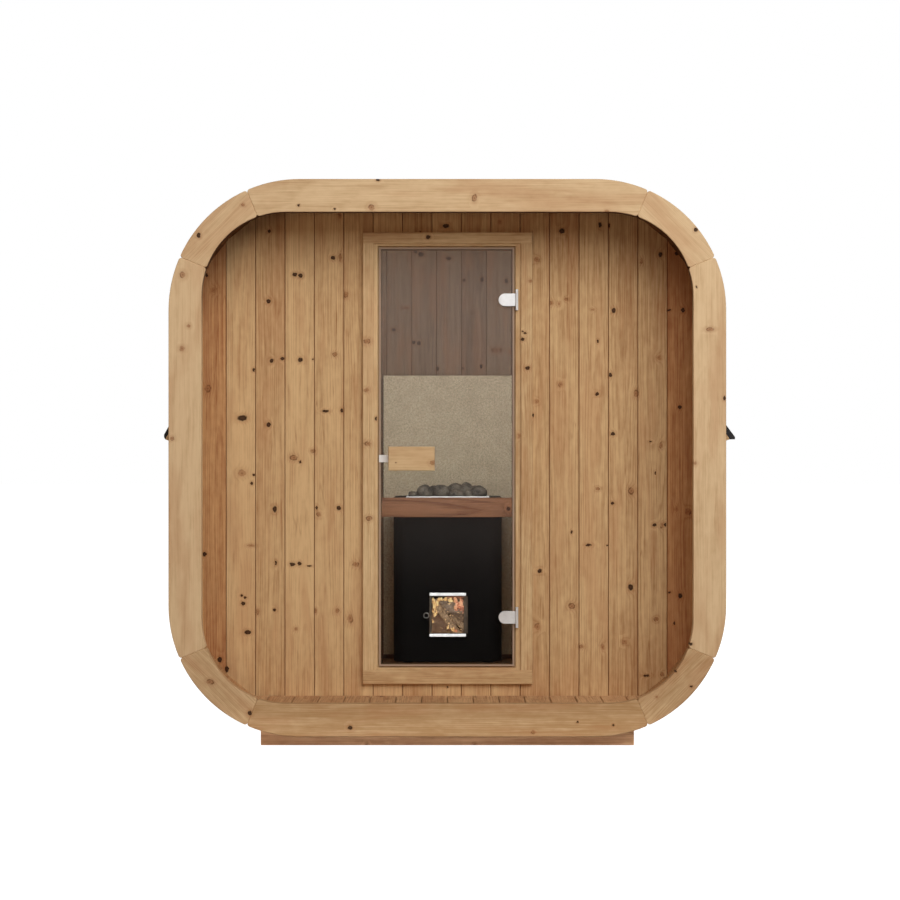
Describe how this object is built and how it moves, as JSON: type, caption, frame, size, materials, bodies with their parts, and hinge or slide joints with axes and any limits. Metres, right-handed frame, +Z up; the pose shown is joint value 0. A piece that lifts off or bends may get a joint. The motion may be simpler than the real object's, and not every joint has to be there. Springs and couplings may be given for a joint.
{
  "type": "outdoor sauna cabin",
  "caption": "Rounded-square outdoor sauna cabin of heat-treated softwood, with a sheltered porch, a tinted glass door and a wood-burning heater.",
  "frame": {"origin": "on the ground, in the middle of the underside of the middle base beam", "axes": "+X to the right of a person facing the door, +Y into the cabin, +Z up"},
  "size_m": [2.13, 1.95, 2.115],
  "materials": {
    "ring_wood": "planed softwood, warm and pale",
    "wall_wood": "planed knotty softwood, heat treated",
    "stave_wood": "planed knotty softwood, heat treated",
    "frame_wood": "planed knotty softwood, heat treated",
    "deck_wood": "planed knotty softwood, heat treated",
    "rail_wood": "planed softwood, reddish",
    "handle_wood": "sanded pale softwood",
    "beam_wood": "sawn softwood, reddish",
    "tinted_glass": "tempered, grey-bronze tint",
    "fire_glass": "heat-proof ceramic glass",
    "fitting_steel": "satin",
    "rim_steel": "satin",
    "heater_steel": "matt black heat-proof paint",
    "sauna_stone": "rounded dark stone, dry",
    "shield_board": "fine cement board, mottled beige",
    "bitumen": "black mineral-granule bitumen shingles"
  },
  "bodies": {
    "cabin": {"back_ring_corners": "ring_wood", "back_ring_straights": "ring_wood", "back_wall": "wall_wood", "base_beams": "beam_wood", "door_head": "frame_wood", "door_hinge_plates": "fitting_steel", "door_jambs": "frame_wood", "door_sill": "frame_wood", "eave_battens": "ring_wood", "fire_door_hinges": "heater_steel", "floor_joists": "deck_wood", "front_ring_bottom": "ring_wood", "front_ring_bottom_left": "ring_wood", "front_ring_bottom_right": "ring_wood", "front_ring_left": "ring_wood", "front_ring_right": "ring_wood", "front_ring_top": "ring_wood", "front_ring_top_left": "ring_wood", "front_ring_top_right": "ring_wood", "front_wall_left": "wall_wood", "front_wall_over_door": "wall_wood", "front_wall_right": "wall_wood", "front_wall_under_door": "wall_wood", "guard_rail_front": "rail_wood", "guard_rail_sides": "rail_wood", "heat_shield": "shield_board", "heater_body": "heater_steel", "heater_rim": "rim_steel", "heater_stones": "sauna_stone", "porch_floor": "deck_wood", "roof_shingles": "bitumen", "room_floor": "deck_wood", "shell_bottom_corners": "stave_wood", "shell_floor": "stave_wood", "shell_roof": "stave_wood", "shell_sides": "stave_wood", "shell_top_corners": "stave_wood"},
    "door": {"door_glass": "tinted_glass", "door_handle": "handle_wood", "door_fittings": "fitting_steel"},
    "fire_door": {"fire_door": "heater_steel", "fire_door_glass": "fire_glass", "fire_door_knob": "rim_steel"}
  },
  "joints": [
    {"name": "door_hinge", "type": "hinge", "parent": "cabin", "child": "door", "pos_m": [0.2665, -0.6965, 0], "axis": [0, 0, 1], "range_deg": [0, 110]},
    {"name": "fire_door_hinge", "type": "hinge", "parent": "cabin", "child": "fire_door", "pos_m": [0.0825, 0.264, 0], "axis": [0, 0, 1], "range_deg": [0, 110]}
  ]
}
